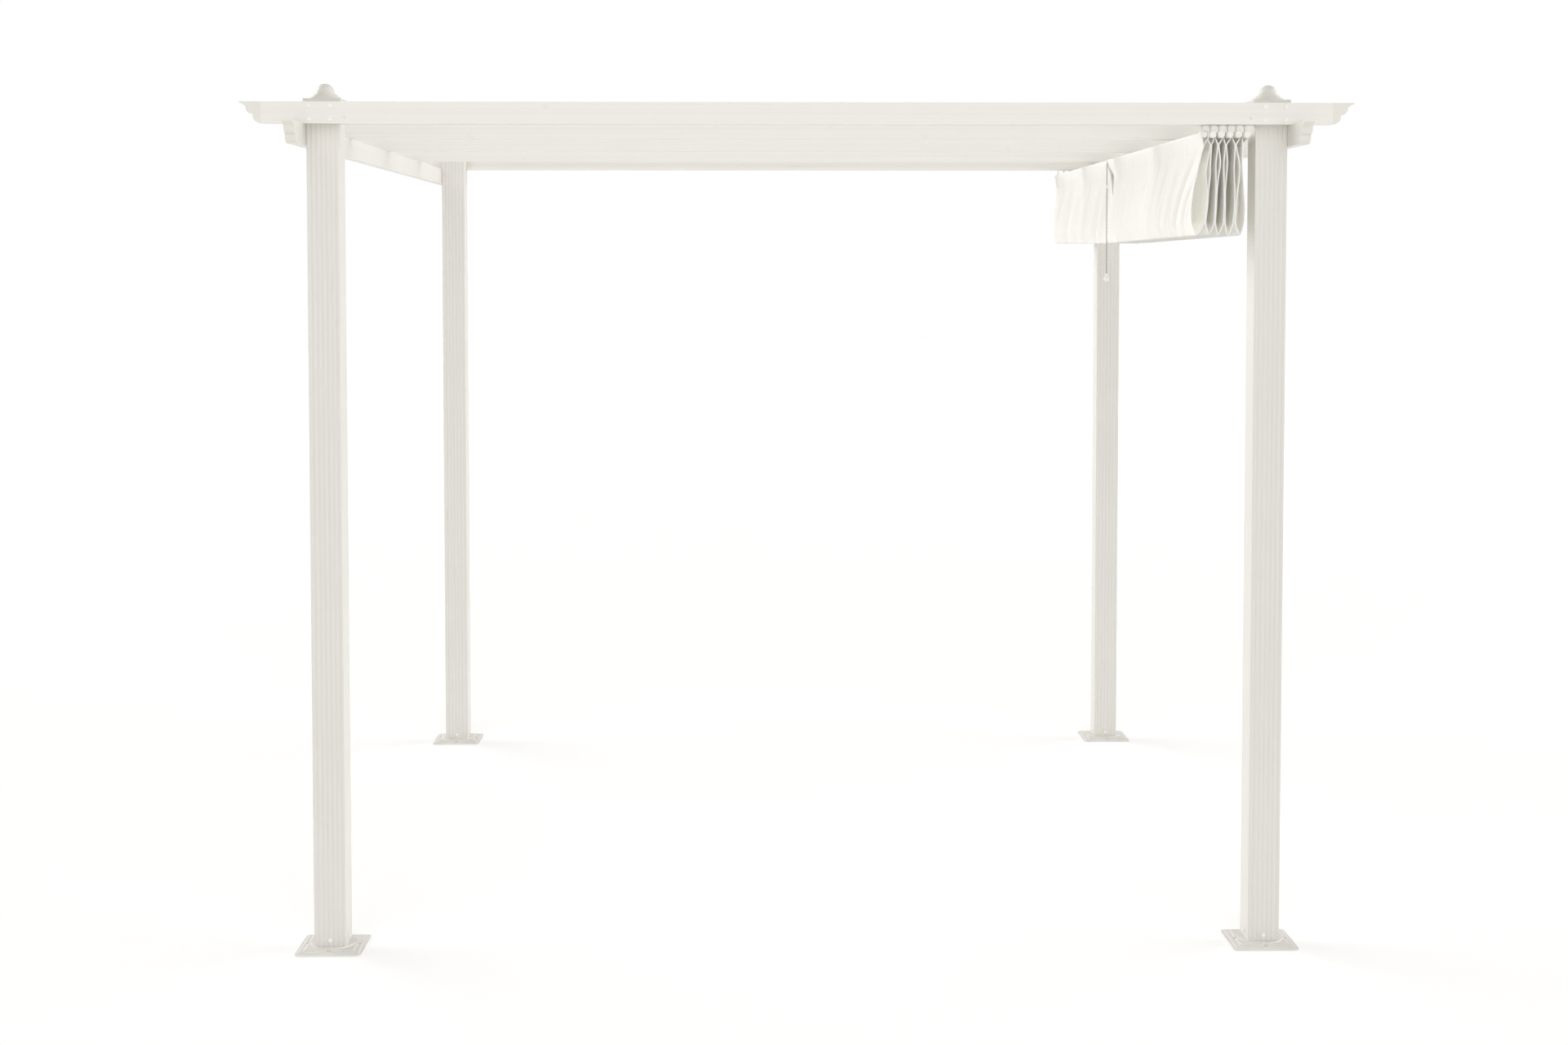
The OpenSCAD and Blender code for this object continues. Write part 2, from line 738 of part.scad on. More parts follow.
module cloth_bay(k) {
    color(cloth) translate([rod_x(k), 0, rod_z]) difference() {
        union() {
            cloth_width(k, -cloth_edge, seam_y - seam_gap / 2, front_lean[k - 1]);
            cloth_width(k, seam_y + seam_gap / 2, cloth_edge, back_lean[k - 1]);
        }
        for (s = [-1, 1]) translate([rod_pitch / 2, s * rail_c, 0])
            cube([2 * rod_pitch + 2 * notch_h, ring_w + 2 * notch_gap, 2 * notch_h], center = true);
    }
}

// Pull cord: a clip on the leading rod, the cord, a bead and the knob
module cord_clip() {
    color(plastic) translate([rod_x(1), seam_y, rod_z]) {
        rod_ring();
        translate([cord_x - rod_x(1), 0, lug_z - rod_z]) difference() {
            cylinder(r = lug_r, h = lug_h);
            translate([rod_x(1) - cord_x, ring_w, rod_z - lug_z]) rotate([90, 0, 0])
                cylinder(r = rod_r + rod_gap, h = 2 * ring_w);
        }
    }
}

function cord_point(i) = cord_route[0] + (cord_route[1] - cord_route[0]) * i / (cord_rings - 1);

module pull_cord() {
    points = [for (i = [0 : cord_rings - 1], j = [0 : cord_sides - 1])
        let (a = 360 * j / cord_sides) cord_point(i) + cord_d / 2 * [cos(a), sin(a), 0]];
    walls = [for (i = [0 : cord_rings - 2], j = [0 : cord_sides - 1])
        let (n = (j + 1) % cord_sides, p = i * cord_sides, q = p + cord_sides) [p + j, q + j, q + n, p + n]];
    top = [for (j = [0 : cord_sides - 1]) j];
    end = [for (j = [cord_sides - 1 : -1 : 0]) (cord_rings - 1) * cord_sides + j];
    color(grey) polyhedron(points, concat([top], walls, [end]));
}

module cord_knob() {
    neck = pull_r / 2;
    color(plastic) {
        translate([cord_x, seam_y, lug_z - bead_drop]) difference() {
            sphere(r = bead_ball_r);
            cylinder(r = cord_d / 2 + rod_gap, h = 3 * bead_ball_r, center = true);
        }
        translate([cord_x, seam_y, lug_z - cord_len - pull_h]) rotate_extrude() {
            square([neck, pull_h]);
            intersection() {
                translate([0, pull_r]) circle(r = pull_r);
                square([pull_r, 2 * pull_r]);
            }
        }
    }
}

post(-1, -1);  // post_front_left
post(1, -1);  // post_front_right
post(-1, 1);  // post_back_left
post(1, 1);  // post_back_right
base(-1, -1);  // base_front_left
base(1, -1);  // base_front_right
base(-1, 1);  // base_back_left
base(1, 1);  // base_back_right
post_cap(-1, -1);  // post_cap_front_left
post_cap(1, -1);  // post_cap_front_right
post_cap(-1, 1);  // post_cap_back_left
post_cap(1, 1);  // post_cap_back_right
outer_beam(-1);  // front_beam
rafter(rafter_ys[0]);  // front_rafter
rafter(rafter_ys[1]);  // middle_rafter
rafter(rafter_ys[2]);  // back_rafter
outer_beam(1);  // back_beam
translate([0, -cross_y, clear_h]) end_pair(beam_t);  // front_beam_ends
translate([0, rafter_ys[0], clear_h]) end_pair(beam_t);  // front_rafter_ends
translate([0, rafter_ys[1], clear_h]) end_pair(beam_t);  // middle_rafter_ends
translate([0, rafter_ys[2], clear_h]) end_pair(beam_t);  // back_rafter_ends
translate([0, cross_y, clear_h]) end_pair(beam_t);  // back_beam_ends
side_beam(-1);  // side_beam_left
side_beam(1);  // side_beam_right
translate([-side_x, 0, clear_h - beam_h]) rotate(90) end_pair(side_t);  // side_beam_left_ends
translate([side_x, 0, clear_h - beam_h]) rotate(90) end_pair(side_t);  // side_beam_right_ends
cross_beam_bolts();
side_beam_bolts();
rafter_bolts();
nuts();
base_screws();
rail_screws();
rail();  // front_rail
mirror([0, 1, 0]) rail();  // back_rail
for (k = [1 : rods]) {
    rod(k);
    rod_knobs(k);
    gliders(k);
}
for (k = [1 : rods - 1])
    cloth_bay(k);
cord_clip();
pull_cord();
cord_knob();
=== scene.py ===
import math

import bmesh
import bpy
import numpy as np
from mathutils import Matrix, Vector, noise


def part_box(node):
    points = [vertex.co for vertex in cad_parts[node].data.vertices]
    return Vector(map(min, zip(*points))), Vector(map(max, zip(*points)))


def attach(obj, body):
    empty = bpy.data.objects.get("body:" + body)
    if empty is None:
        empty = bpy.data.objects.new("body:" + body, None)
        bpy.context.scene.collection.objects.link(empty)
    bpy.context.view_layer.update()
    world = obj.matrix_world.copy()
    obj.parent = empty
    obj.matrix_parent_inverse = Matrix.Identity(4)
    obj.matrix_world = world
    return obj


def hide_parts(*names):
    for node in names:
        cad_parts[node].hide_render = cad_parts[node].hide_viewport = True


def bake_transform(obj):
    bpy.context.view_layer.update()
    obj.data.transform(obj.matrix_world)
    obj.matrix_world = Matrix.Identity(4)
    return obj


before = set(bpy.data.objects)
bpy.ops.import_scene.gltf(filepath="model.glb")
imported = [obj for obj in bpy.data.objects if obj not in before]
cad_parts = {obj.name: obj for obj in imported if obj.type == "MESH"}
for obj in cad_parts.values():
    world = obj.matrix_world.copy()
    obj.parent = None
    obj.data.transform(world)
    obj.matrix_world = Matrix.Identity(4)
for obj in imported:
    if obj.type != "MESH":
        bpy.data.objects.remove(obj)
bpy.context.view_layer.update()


# Camera
# A studio camera with a medium lens, a little left of the middle and below the beams. It looks
# down only a little. The rest of its drop is a lens shift, which keeps the posts nearly upright.
camera_data = bpy.data.cameras.new("studio_camera")
camera_data.sensor_width = 36.0
camera_data.lens = 48.675
camera_data.shift_y = -0.10
# in degrees
LOOK_DOWN = 2.635
LOOK_RIGHT = 1.082
camera = bpy.data.objects.new("studio_camera", camera_data)
camera.location = (-0.1494, -7.093, 1.8738)
camera.rotation_euler = (math.radians(90 - LOOK_DOWN), 0, math.radians(-LOOK_RIGHT))
bpy.context.collection.objects.link(camera)
bpy.context.scene.camera = camera


def linear(hex_colour):
    """sRGB hex to the linear colour that the shaders take."""
    parts = [int(hex_colour[i:i + 2], 16) / 255 for i in (1, 3, 5)]
    return [p / 12.92 if p <= 0.04045 else ((p + 0.055) / 1.055) ** 2.4 for p in parts] + [1.0]


def add_node(material, kind, settings=None, links=None):
    """Adds a node, sets its properties and sockets, and links its inputs from other nodes' outputs."""
    node = material.node_tree.nodes.new(kind)
    for key, value in (settings or {}).items():
        if isinstance(key, str) and hasattr(node, key):
            setattr(node, key, value)
        else:
            node.inputs[key].default_value = value
    for key, (source, output) in (links or {}).items():
        material.node_tree.links.new(source.outputs[output], node.inputs[key])
    return node


# Studio floor and light
# White seamless paper, white to the camera, that still takes a faint shadow. Broad, even light
# comes from the right, from the left a little behind, and less of it from the front.
bpy.ops.object.select_all(action="DESELECT")
FLOOR_SIZE = 80
# just under the plates, so that no two faces lie in one plane
FLOOR_Z = -0.0015
bpy.ops.mesh.primitive_plane_add(size=FLOOR_SIZE, location=(0, 10, FLOOR_Z))
floor = bpy.context.object
floor.name = "studio_floor"
paper = bpy.data.materials.new("white_paper")
paper.use_nodes = True
paper.node_tree.nodes.clear()
ray = add_node(paper, "ShaderNodeLightPath")
seen = add_node(paper, "ShaderNodeMath", {"operation": "MAXIMUM"},
                {0: (ray, "Is Camera Ray"), 1: (ray, "Is Glossy Ray")})
seen = add_node(paper, "ShaderNodeMath", {"operation": "MAXIMUM"},
                {0: (seen, 0), 1: (ray, "Is Transmission Ray")})
matt = add_node(paper, "ShaderNodeBsdfDiffuse", {"Color": linear("#DAD9D7")})
# the paper's own white: what the camera sees of it, and what it throws up onto the pergola
lift = add_node(paper, "ShaderNodeEmission", {"Color": (1, 1, 1, 1), "Strength": 0.43})
bounce = add_node(paper, "ShaderNodeEmission", {"Color": (1, 1, 1, 1), "Strength": 0.36})
glow = add_node(paper, "ShaderNodeMixShader", None, {0: (seen, 0), 1: (bounce, 0), 2: (lift, 0)})
both = add_node(paper, "ShaderNodeAddShader", None, {0: (matt, 0), 1: (glow, 0)})
add_node(paper, "ShaderNodeOutputMaterial", None, {"Surface": (both, 0)})
floor.data.materials.append(paper)

world = bpy.data.worlds.new("studio")
world.use_nodes = True
world.node_tree.nodes.clear()
bpy.context.scene.world = world
ray = add_node(world, "ShaderNodeLightPath")
seen = add_node(world, "ShaderNodeMath", {"operation": "MAXIMUM"},
                {0: (ray, "Is Camera Ray"), 1: (ray, "Is Glossy Ray")})
seen = add_node(world, "ShaderNodeMath", {"operation": "MAXIMUM"},
                {0: (seen, 0), 1: (ray, "Is Transmission Ray")})
# A light tent, 0.20 bright at the horizon and 0.07 overhead. Sockets 1 to 4 of a Map Range node are
# the lowest and highest value that go in, and the two that come out.
around = add_node(world, "ShaderNodeTexCoord")
sky = add_node(world, "ShaderNodeSeparateXYZ", None, {0: (around, "Generated")})
tent = add_node(world, "ShaderNodeMapRange", {1: 0.0, 2: 1.0, 3: 0.20, 4: 0.07}, {0: (sky, 2)})
fill = add_node(world, "ShaderNodeBackground", {"Color": linear("#FFFEFC")}, {"Strength": (tent, 0)})
white = add_node(world, "ShaderNodeBackground", {"Color": (1, 1, 1, 1), "Strength": 1.0})
mixed = add_node(world, "ShaderNodeMixShader", None, {0: (seen, 0), 1: (fill, 0), 2: (white, 0)})
add_node(world, "ShaderNodeOutputWorld", None, {"Surface": (mixed, 0)})

# each light: where it comes from, its spread in degrees and its strength
studio_lights = {
    "right_light": ((0.93, 0.15, 0.33), 60, 2.05),
    "left_light": ((-0.85, 0.42, 0.32), 60, 2.54),
    "front_light": ((0.0, -0.87, 0.49), 70, 1.52),
}
LAMP_DISTANCE = 6
for name, (direction, spread, strength) in studio_lights.items():
    light = bpy.data.lights.new(name, "SUN")
    light.angle = math.radians(spread)
    light.energy = strength
    lamp = bpy.data.objects.new(name, light)
    lamp.location = [LAMP_DISTANCE * part for part in direction]
    lamp.rotation_euler = Vector(direction).to_track_quat("Z", "Y").to_euler()
    bpy.context.collection.objects.link(lamp)
scene = bpy.context.scene
scene.view_settings.view_transform = "Standard"
# light goes on from fold to fold in the pale canopy, which takes more than the usual four bounces
scene.cycles.max_bounces = 20
scene.cycles.diffuse_bounces = 16


# Pull cord
# A 3 mm braided polyester cord. It is knotted in the clip on the leading rod and hangs straight
# down to the pull knob.
CORD_TOP = (1.08592, 0.120, 2.230)
CORD_LENGTH = 0.375
CORD_D = 0.003
CORD_POINTS = 24


def braided_polyester():
    """Braided polyester: a fine diagonal plait, matt, drawn mid grey as painted shade for a cord that hangs
    in shadow.
    """
    m = bpy.data.materials.new("braided_polyester")
    m.use_nodes = True
    m.node_tree.nodes.clear()
    place = add_node(m, "ShaderNodeTexCoord")
    # two sets of diagonal bands 12 mm apart: a plait every 6 mm, twice the real pitch, so that it shows
    twist = {"wave_type": "BANDS", "bands_direction": "DIAGONAL", "Scale": 53.0, "Distortion": 0.0}
    left = add_node(m, "ShaderNodeTexWave", twist, {"Vector": (place, "Object")})
    turned = add_node(m, "ShaderNodeMapping", {"Rotation": (0, 0, math.pi)}, {"Vector": (place, "Object")})
    right = add_node(m, "ShaderNodeTexWave", twist, {"Vector": (turned, 0)})
    plait = add_node(m, "ShaderNodeMath", {"operation": "MAXIMUM"}, {0: (left, "Fac"), 1: (right, "Fac")})
    # sockets 6 and 7 of a Mix node are its two colours
    # the two greys are painted shade: the cord is drawn as dark as it looks in shadow
    shade = add_node(m, "ShaderNodeMix", {"data_type": "RGBA", 6: linear("#817E7A"), 7: linear("#A5A29D")},
                     {0: (plait, 0)})
    bump = add_node(m, "ShaderNodeBump", {"Strength": 0.6, "Distance": 0.0004}, {"Height": (plait, 0)})
    skin = add_node(m, "ShaderNodeBsdfPrincipled", {"Roughness": 0.75, "IOR": 1.5},
                    {"Base Color": (shade, 2), "Normal": (bump, 0)})
    add_node(m, "ShaderNodeOutputMaterial", None, {"Surface": (skin, 0)})
    return m


curve = bpy.data.curves.new("pull_cord_line", "CURVE")
curve.dimensions = "3D"
curve.bevel_depth = CORD_D / 2
curve.bevel_resolution = 3
curve.use_fill_caps = True
line = curve.splines.new("POLY")
line.points.add(CORD_POINTS - 1)
for i, point in enumerate(line.points):
    down = i / (CORD_POINTS - 1)
    point.co = (CORD_TOP[0], CORD_TOP[1], CORD_TOP[2] - CORD_LENGTH * down, 1)
cord = bpy.data.objects.new("braided_pull_cord", curve)
bpy.context.collection.objects.link(cord)
curve.materials.append(braided_polyester())
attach(cord, "carriage_1")
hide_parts("pull_cord")


# Posts
# Extruded aluminium, square and fluted on all four faces, with a satin off-white powder coat.
# Each slips over the socket tube of its anchor plate.
def dress(nodes, material):
    """Gives CAD nodes one material."""
    for name in nodes:
        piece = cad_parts[name]
        piece.data.materials.clear()
        piece.data.materials.append(material)


def powder_coat(name, along, low, high):
    """Powder coat on extruded aluminium: satin, with a fine orange peel, faint die lines along the
    extrusion and a few faint marks from handling. along is 0, 1 or 2 for X, Y or Z."""
    m = bpy.data.materials.new(name)
    m.use_nodes = True
    m.node_tree.nodes.clear()
    place = add_node(m, "ShaderNodeTexCoord")
    # die lines: one every 7 mm across, drawn wider than the real 1 mm so that they show
    stretch = [140.0, 140.0, 140.0]
    stretch[along] = 0.25
    drawn = add_node(m, "ShaderNodeMapping", {"Scale": stretch}, {"Vector": (place, "Object")})
    lines = add_node(m, "ShaderNodeTexNoise", {"Scale": 1.0, "Detail": 2.0, "Roughness": 0.6},
                     {"Vector": (drawn, 0)})
    # cloudy shade about 0.3 m across, and smudges about 30 mm wide and 70 mm long
    cloud = add_node(m, "ShaderNodeTexNoise", {"Scale": 3.2, "Detail": 3.0, "Roughness": 0.55},
                     {"Vector": (place, "Object")})
    spread = [30.0, 30.0, 30.0]
    spread[along] = 14.0
    rubbed = add_node(m, "ShaderNodeMapping", {"Scale": spread}, {"Vector": (place, "Object")})
    marks = add_node(m, "ShaderNodeTexNoise", {"Scale": 1.0, "Detail": 3.0, "Roughness": 0.55},
                     {"Vector": (rubbed, 0)})
    # only the strongest smudges show, at most three tenths of their own colour
    faint = add_node(m, "ShaderNodeMapRange", {1: 0.66, 2: 0.78, 3: 0.0, 4: 0.3}, {0: (marks, 0)})
    base = add_node(m, "ShaderNodeMix", {"data_type": "RGBA", 6: linear(low), 7: linear(high)},
                    {0: (cloud, 0)})
    lined = add_node(m, "ShaderNodeMix", {"data_type": "RGBA", "blend_type": "MULTIPLY", 0: 0.35},
                     {6: (base, 2)})
    tone = add_node(m, "ShaderNodeMapRange", {1: 0.3, 2: 0.7, 3: 0.90, 4: 1.0}, {0: (lines, 0)})
    m.node_tree.links.new(tone.outputs[0], lined.inputs[7])
    worn = add_node(m, "ShaderNodeMix", {"data_type": "RGBA", 7: linear("#D8D3C8")},
                    {0: (faint, 0), 6: (lined, 2)})
    # orange peel: 3 mm cells, coarser than the real 1 mm so that it shows
    peel = add_node(m, "ShaderNodeTexNoise", {"Scale": 330.0, "Detail": 1.0}, {"Vector": (place, "Object")})
    relief = add_node(m, "ShaderNodeMath", {"operation": "MULTIPLY_ADD", 1: 0.6},
                      {0: (lines, 0), 2: (peel, 0)})
    bump = add_node(m, "ShaderNodeBump", {"Strength": 0.12, "Distance": 0.0006}, {"Height": (relief, 0)})
    gloss = add_node(m, "ShaderNodeMapRange", {1: 0.3, 2: 0.7, 3: 0.36, 4: 0.48}, {0: (cloud, 0)})
    skin = add_node(m, "ShaderNodeBsdfPrincipled", {"IOR": 1.5},
                    {"Base Color": (worn, 2), "Roughness": (gloss, 0), "Normal": (bump, 0)})
    add_node(m, "ShaderNodeOutputMaterial", None, {"Surface": (skin, 0)})
    return m


corners = ("front_left", "front_right", "back_left", "back_right")
# the posts' coat is drawn greyer than the beams': painted shade for the hollows of the flutes
coat_upright_painted_shade = powder_coat("powder_coated_aluminium_upright_painted_shade", 2, "#E0DDD7", "#E4E1DB")
dress([f"post_{c}" for c in corners], coat_upright_painted_shade)


# Anchor plates
# Cast aluminium plates with two sloped ridges, a round boss and a socket tube inside the post,
# coated like the posts but a shade paler.
# the coat is drawn greyer than the beams': painted shade that holds down the light on the plates' sloped
# tops
coat_cast_painted_shade = powder_coat("powder_coated_cast_aluminium_painted_shade", 0, "#E1DED8", "#E6E3DD")
dress([f"base_{c}" for c in corners], coat_cast_painted_shade)


# Beams and rafters
# Rectangular aluminium tubes. The outer beams are bolted to the posts' front and back faces,
# the side beams to their outer sides, and the rafters lie on the side beams.
coat_x = powder_coat("powder_coated_aluminium_lengthwise", 0, "#EBE8E2", "#F0EDE7")
coat_y = powder_coat("powder_coated_aluminium_crosswise", 1, "#E4E1DB", "#E9E6E0")
beams = ("front_beam", "front_rafter", "middle_rafter", "back_rafter", "back_beam")
sides = ("side_beam_left", "side_beam_right")
dress(beams, coat_x)
dress(sides, coat_y)


# Moulded end caps and post caps
# Moulded polypropylene. The scalloped ends plug into the beams and have their colour. The domed
# caps plug into the posts and are drawn a shade greyer than these, as painted shade for their dark sides.
def moulded_plastic(name, colour):
    """Moulded polypropylene: a fine matt mould grain, softly mottled, with a dull sheen."""
    m = bpy.data.materials.new(name)
    m.use_nodes = True
    m.node_tree.nodes.clear()
    place = add_node(m, "ShaderNodeTexCoord")
    # mould grain: 2 mm cells, coarser than the real 0.5 mm so that it shows
    grain = add_node(m, "ShaderNodeTexNoise", {"Scale": 480.0, "Detail": 2.0},
                     {"Vector": (place, "Object")})
    # flow marks of the melt, 40 mm across
    flow = add_node(m, "ShaderNodeTexNoise", {"Scale": 24.0, "Detail": 2.0, "Distortion": 0.6},
                    {"Vector": (place, "Object")})
    darker = [c * 0.93 for c in linear(colour)[:3]] + [1.0]
    shade = add_node(m, "ShaderNodeMix", {"data_type": "RGBA", 6: darker, 7: linear(colour)},
                     {0: (flow, 0)})
    bump = add_node(m, "ShaderNodeBump", {"Strength": 0.15, "Distance": 0.0004}, {"Height": (grain, 0)})
    gloss = add_node(m, "ShaderNodeMapRange", {1: 0.3, 2: 0.7, 3: 0.42, 4: 0.54}, {0: (flow, 0)})
    skin = add_node(m, "ShaderNodeBsdfPrincipled", {"IOR": 1.49},
                    {"Base Color": (shade, 2), "Roughness": (gloss, 0), "Normal": (bump, 0)})
    add_node(m, "ShaderNodeOutputMaterial", None, {"Surface": (skin, 0)})
    return m


cap_plastic = moulded_plastic("moulded_polypropylene_off_white", "#E9E6DE")
dress([f"{b}_ends" for b in beams + sides], cap_plastic)
# the post caps' greyer colour is painted shade
dress([f"post_cap_{c}" for c in corners], moulded_plastic("moulded_polypropylene_white_painted_shade", "#DBD8D1"))


# Bolts, nuts and screws
# Zinc-plated steel, the heads painted white and drawn whiter than the coat, a painted highlight
# over the shade of their key recesses. Domed heads pull the beams onto the posts. The rails'
# screws have the beams' own coat.
def plated_steel():
    """Painted over zinc plate: smooth satin paint that thins to a warm grey in places, drawn whiter than
    the coat as a painted highlight.
    """
    m = bpy.data.materials.new("painted_zinc_plated_steel_painted_highlight")
    m.use_nodes = True
    m.node_tree.nodes.clear()
    place = add_node(m, "ShaderNodeTexCoord")
    # paint wear in 3 mm patches
    patch = add_node(m, "ShaderNodeTexNoise", {"Scale": 300.0, "Detail": 2.0},
                     {"Vector": (place, "Object")})
    shade = add_node(m, "ShaderNodeMix", {"data_type": "RGBA", 6: linear("#F3F1EB"), 7: linear("#FCFBF8")},
                     {0: (patch, 0)})
    gloss = add_node(m, "ShaderNodeMapRange", {1: 0.3, 2: 0.7, 3: 0.20, 4: 0.34}, {0: (patch, 0)})
    skin = add_node(m, "ShaderNodeBsdfPrincipled", {"IOR": 1.5},
                    {"Base Color": (shade, 2), "Roughness": (gloss, 0)})
    add_node(m, "ShaderNodeOutputMaterial", None, {"Surface": (skin, 0)})
    return m


dress(("cross_beam_bolts", "side_beam_bolts", "rafter_bolts", "nuts", "base_screws"), plated_steel())
dress(("rail_screws",), coat_x)


# Rails and canopy rods
# The slotted rails and the rods are thin extruded aluminium, coated like the beams.
# Moulded gliders run in the rails and carry the rods, and a knob closes each rod's end.
dress(("front_rail", "back_rail"), coat_x)
ROD_COUNT = 6
dress([f"rod_{k}" for k in range(1, ROD_COUNT + 1)], coat_y)
white_plastic = moulded_plastic("moulded_nylon_white", "#F4F2EC")
dress([f"rod_{k}_{part}" for k in range(1, ROD_COUNT + 1) for part in ("knobs", "gliders")], white_plastic)
dress(("cord_clip", "cord_knob"), white_plastic)


# Canopy
# Two widths of woven polyester with rolled hems, sewn into a pocket at each rod. They hang in
# five folds, each of two legs that meet in the crease at its foot and part as the rods move.
rods_x = [sum(corner[0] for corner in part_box(f"rod_{k}")) / 2 for k in range(1, ROD_COUNT + 1)]
rod_z = sum(corner[2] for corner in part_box("rod_1")) / 2
# Lengths are in metres unless a comment says otherwise. Along the rods: the cloth's outer edges,
# the joint of its widths and the gliders' rings
EDGE_Y = 1.338
SEAM_Y = 0.120
SEAM_GAP = 0.012
RING_Y = 1.320
# the cloth's thickness, a hem's thickness and width, how wide its rolled edge is, and the share of
# the hem's thickness there and round a rod
CLOTH_T = 0.0008
HEM_T = 0.0034
HEM_W = 0.011
HEM_ROLL = 0.001
THIN_HEM = 0.45
# how far below a rod its pocket is sewn, and half the space between the layers there
STITCH_DROP = 0.027
LEAD_STITCH_DROP = 0.045
STITCH_SPACE = 0.0014
# how far down the cloth counts as lying round the rod
ROUND_ROD = 0.012
# the pocket's radius, how much it widens at a hem and at the front, and bows out below the rod
SLEEVE_R = 0.0069
HEM_SWELL = 0.0016
FRONT_FLARE = 0.0045
POCKET_BOW = 0.0016
# the notch in a pocket for a glider's ring
NOTCH_HALF = 0.0052
NOTCH_DROP = 0.0118
# the leading pocket's mouth: its length, radius, how far it is drawn out and how much higher sewn
MOUTH_LENGTH = 0.0095
MOUTH_R = 0.0106
MOUTH_REACH = 0.028
MOUTH_LIFT = 0.012
# how far up from the crease the legs begin to close
TIP_H = 0.036
# beside the cord: how far the leading cloth hangs back, and the front width's curl and corner
HOLLOW = 0.016
CURL = 0.014
CURL_DROP = 0.062
CORNER_RISE = 0.011
CORNER_WIDTH = 0.035
# rows of points down a pocket's side, round a rod and down the closing legs
SIDE_ROWS = 7
ARC_ROWS = 9
TIP_ROWS = 9
# each width: its front and back edges, and the depth of its crease at them
widths = {
    "front": (-EDGE_Y, SEAM_Y - SEAM_GAP / 2, 0.273, 0.278),
    "back": (SEAM_Y + SEAM_GAP / 2, EDGE_Y, 0.278, 0.264),
}
# In millimetres: depths below the rod, how far each rod's pair of legs hangs to one side there at
# the front edge and from half a metre in, half the space between the two, how far the foot of each
# fold hangs to one side, and how deep the soft folds are in each rod's legs
depths = (30, 75, 110, 150, 200, 250)
front_line = ((0, -9, -17, -25, -31, -30), (-1, -6, -8, -8, -11, -17), (-4, -4, -6, -8, -10, -13),
              (-7, -7, -8, -9, -9, -10), (-4, 0, 0, -1, -4, -7), (-8, -9, -7, -4, -1, -3))
inner_line = ((-1, -5, -10, -15, -20, -23), (-1, -3, -4, -6, -8, -10), (-2, -3, -4, -5, -6, -8),
              (-3, -3, -4, -4, -5, -6), (-2, -1, -1, -2, -3, -4), (-3, -2, -2, -2, -2, -3))
front_space = ((2, 2, 2, 2, 2, 2), (1.5, 4.5, 6, 2, 1.7, 1.7), (1.5, 6, 3.8, 1.7, 1.7, 1.7),
               (1.5, 5, 3.6, 1.7, 1.7, 2.2), (1.5, 7, 7, 4, 1.8, 2.8), (2, 2, 2, 2, 2, 2))
inner_space = (1.5, 3.0, 3.4, 3.0, 2.4, 2.2)
front_foot = (-28, -15, -15, -11, -2)
inner_foot = (-20, -9, -7, -6, -2)
fold_size = (12.0, 2.0, 1.2, 1.2, 1.4, 5.0)


def eased(values, drop):
    """A smooth curve through values at the set depths, in metres."""
    d = drop * 1000
    stops = (0,) + depths
    v = (values[0],) + tuple(values)
    i = max(j for j in range(len(stops)) if stops[j] <= d or j == 0)
    if i >= len(stops) - 1:
        return v[-1] / 1000
    t = (d - stops[i]) / (stops[i + 1] - stops[i])
    before = v[max(i - 1, 0)]
    after = v[min(i + 2, len(v) - 1)]
    slope_in = (v[i + 1] - before) / 2
    slope_out = (after - v[i]) / 2
    return ((2 * t ** 3 - 3 * t ** 2 + 1) * v[i] + (t ** 3 - 2 * t ** 2 + t) * slope_in
            + (3 * t ** 2 - 2 * t ** 3) * v[i + 1] + (t ** 3 - t ** 2) * slope_out) / 1000


def crease_drop(width, y):
    """How deep a fold hangs. The front width's corner beside the joint is rounded off."""
    y0, y1, d0, d1 = widths[width]
    rounded = max(0.0, 1 - (y1 - y) / CORNER_WIDTH) ** 2 if width == "front" else 0.0
    return d0 + (d1 - d0) * (y - y0) / (y1 - y0) - CORNER_RISE * rounded


def near_front(y):
    """How much of the front edge's shape holds at y: a third of it, 0.3 m in."""
    return math.exp(-(y + EDGE_Y) / 0.30)


def edge_distance(width, y):
    """How far y is from the nearer edge of its width."""
    y0, y1 = widths[width][:2]
    return min(y - y0, y1 - y)


def soft_folds(j, y, drop):
    """Broad folds that run down the hanging cloth: slanted in front, upright towards the back."""
    # none at the stitches, full from 0.11 m down, and a third less at the crease
    grow = min(1.0, max(0.0, (drop - 0.02) / 0.09)) * (1 - 0.35 * max(0.0, drop - 0.2) / 0.07)
    slant = 1.9 * near_front(y) + 0.25
    q = y - slant * drop
    # three waves, 205, 113 and 71 mm long, of which the first and last wander a little
    wander = noise.noise(Vector((y * 2.3, drop * 3.0, 1.7)))
    wave = (0.50 * math.sin(2 * math.pi * (q / 0.205 + 0.35 * wander))
            + 0.32 * math.sin(2 * math.pi * q / 0.113 + 1.1)
            + 0.22 * math.sin(2 * math.pi * q / 0.071 + 2.3 + 2.0 * wander))
    # narrow creases 135 mm apart between the broad folds, some deep and some faint
    place = q / 0.135 + 0.9 * noise.noise(Vector((q * 5.0, drop * 2.0, 4.2)))
    depth = 0.6 + 0.7 * noise.noise(Vector((q * 7.0, drop * 4.0, 8.4)))
    wave += 0.65 * depth * (1 - abs(math.sin(math.pi * place))) ** 2
    # the front hem is stiff, so the folds grow over the first 50 mm from it
    hemmed = 1 - math.exp(-(y + EDGE_Y) / 0.05)
    return fold_size[j] / 1000 * grow * hemmed * wave


